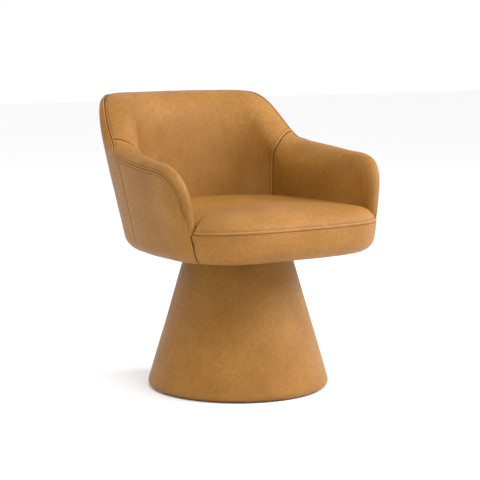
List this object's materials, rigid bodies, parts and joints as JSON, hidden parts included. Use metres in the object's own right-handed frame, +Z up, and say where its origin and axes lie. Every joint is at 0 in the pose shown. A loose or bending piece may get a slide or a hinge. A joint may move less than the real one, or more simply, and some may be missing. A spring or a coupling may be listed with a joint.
{
  "type": "pedestal swivel armchair",
  "caption": "Upholstered tub armchair: a low-armed leather shell seat that turns full circle on a leather-clad cone pedestal.",
  "frame": {"origin": "on the floor, on the swivel axis, in the middle of the glide pad's underside", "axes": "+Z up along the swivel axis, -Y the way the sitter looks, +X to the sitter's left"},
  "size_m": [0.6556, 0.6642, 0.768],
  "materials": {
    "leather": "semi-matt aniline leather with fine grain",
    "felt_pad": "matt black",
    "lining_cloth": "woven black",
    "plywood": "raw birch",
    "moulded_frame": "raw moulded plywood",
    "foam": "open-cell foam",
    "wadding": "soft wadding",
    "nylon": "satin",
    "bright_steel": "polished",
    "dark_steel": "black lacquer",
    "zinc_steel": "zinc plated"
  },
  "bodies": {
    "pedestal": {"floor_pad": "felt_pad", "ballast_plate": "dark_steel", "ballast_screws": "zinc_steel", "bottom_board": "plywood", "column_foot_flange": "dark_steel", "column_foot_screws": "zinc_steel", "column_tube": "dark_steel", "column_top_flange": "dark_steel", "column_top_screws": "zinc_steel", "top_board": "plywood", "cone_core": "moulded_frame", "cone_foam": "foam", "cone_cover": "leather", "lower_swivel_plate": "zinc_steel", "lower_plate_screws": "zinc_steel", "king_pin": "zinc_steel", "pin_washer": "zinc_steel"},
    "bearing": {"ball_cage": "nylon", "bearing_balls": "bright_steel"},
    "seat": {"upper_swivel_plate": "zinc_steel", "swivel_bolts": "zinc_steel", "tee_nuts": "zinc_steel", "lower_deck": "plywood", "upper_deck": "plywood", "tub_frame": "moulded_frame", "front_rail": "moulded_frame", "frame_brackets": "zinc_steel", "bracket_screws": "zinc_steel", "outer_padding": "wadding", "front_padding": "wadding", "back_foam": "foam", "left_arm_foam": "foam", "right_arm_foam": "foam", "seat_foam": "foam", "outside_back_cover": "leather", "left_outside_arm_cover": "leather", "right_outside_arm_cover": "leather", "inside_back_cover": "leather", "left_inside_arm_cover": "leather", "right_inside_arm_cover": "leather", "front_band_cover": "leather", "seat_top_cover": "leather", "dust_cover": "lining_cloth"}
  },
  "joints": [
    {"name": "swivel", "type": "hinge", "parent": "pedestal", "child": "seat", "pos_m": [0, 0, 0.36], "axis": [0, 0, 1], "continuous": true},
    {"name": "cage_turn", "type": "hinge", "parent": "pedestal", "child": "bearing", "pos_m": [0, 0, 0.36], "axis": [0, 0, 1], "continuous": true}
  ],
  "couplings": [
    {"joint": "cage_turn", "follows": "swivel", "ratio": 0.5}
  ]
}
